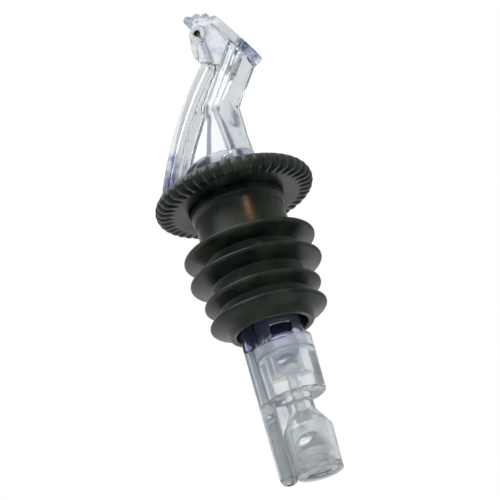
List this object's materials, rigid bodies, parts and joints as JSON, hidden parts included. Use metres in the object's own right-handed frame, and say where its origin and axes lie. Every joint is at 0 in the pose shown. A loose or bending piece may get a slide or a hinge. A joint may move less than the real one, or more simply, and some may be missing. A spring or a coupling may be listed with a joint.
{
  "type": "measured liquor pourer",
  "caption": "Bottle pourer with a clear bent spout and air leg on a fluted collar, a finned rubber cork, and a milky housing whose loose steel balls stop the flow after a measure.",
  "frame": {"origin": "middle of the collar's underside, where the lip of the bottle touches it, on the axis of the cork", "axes": "+Z along the cork towards the spout, +X the way the liquid leaves, +Y across it; -Z points into the bottle"},
  "size_m": [0.03, 0.03, 0.093],
  "materials": {
    "clear_spout": "clear moulded plastic, polished",
    "clear_cap": "clear moulded plastic, polished",
    "vent_brass": "dark brownish metal",
    "collar_black": "satin black, fluted rim",
    "cork_rubber": "matte black rubber",
    "clear_stem": "clear moulded plastic",
    "seat_white": "plain white moulding",
    "milky_housing": "milky, half clear moulded plastic",
    "ball_steel": "polished bearing ball"
  },
  "bodies": {
    "pourer": {"spout_body": "clear_spout", "spout_cap": "clear_cap", "vent_bush": "vent_brass", "collar": "collar_black", "cork": "cork_rubber", "stem_tube": "clear_stem", "shutoff_seat": "seat_white", "lower_housing": "milky_housing", "cage_ring": "milky_housing", "breather_plug": "milky_housing"},
    "timing_ball": {"timing_ball": "ball_steel"},
    "reset_ball": {"reset_ball": "ball_steel"},
    "breather_ball": {"breather_ball": "ball_steel"}
  },
  "joints": [
    {"name": "timing_ball_slide", "type": "slide", "parent": "pourer", "child": "timing_ball", "axis": [0, 0, 1], "range_m": [0, 0.0276]},
    {"name": "reset_ball_slide", "type": "slide", "parent": "pourer", "child": "reset_ball", "axis": [0, 0, 1], "range_m": [0, 0.0027]},
    {"name": "breather_ball_slide", "type": "slide", "parent": "pourer", "child": "breather_ball", "axis": [0, 0, 1], "range_m": [0, 0.0019]}
  ]
}
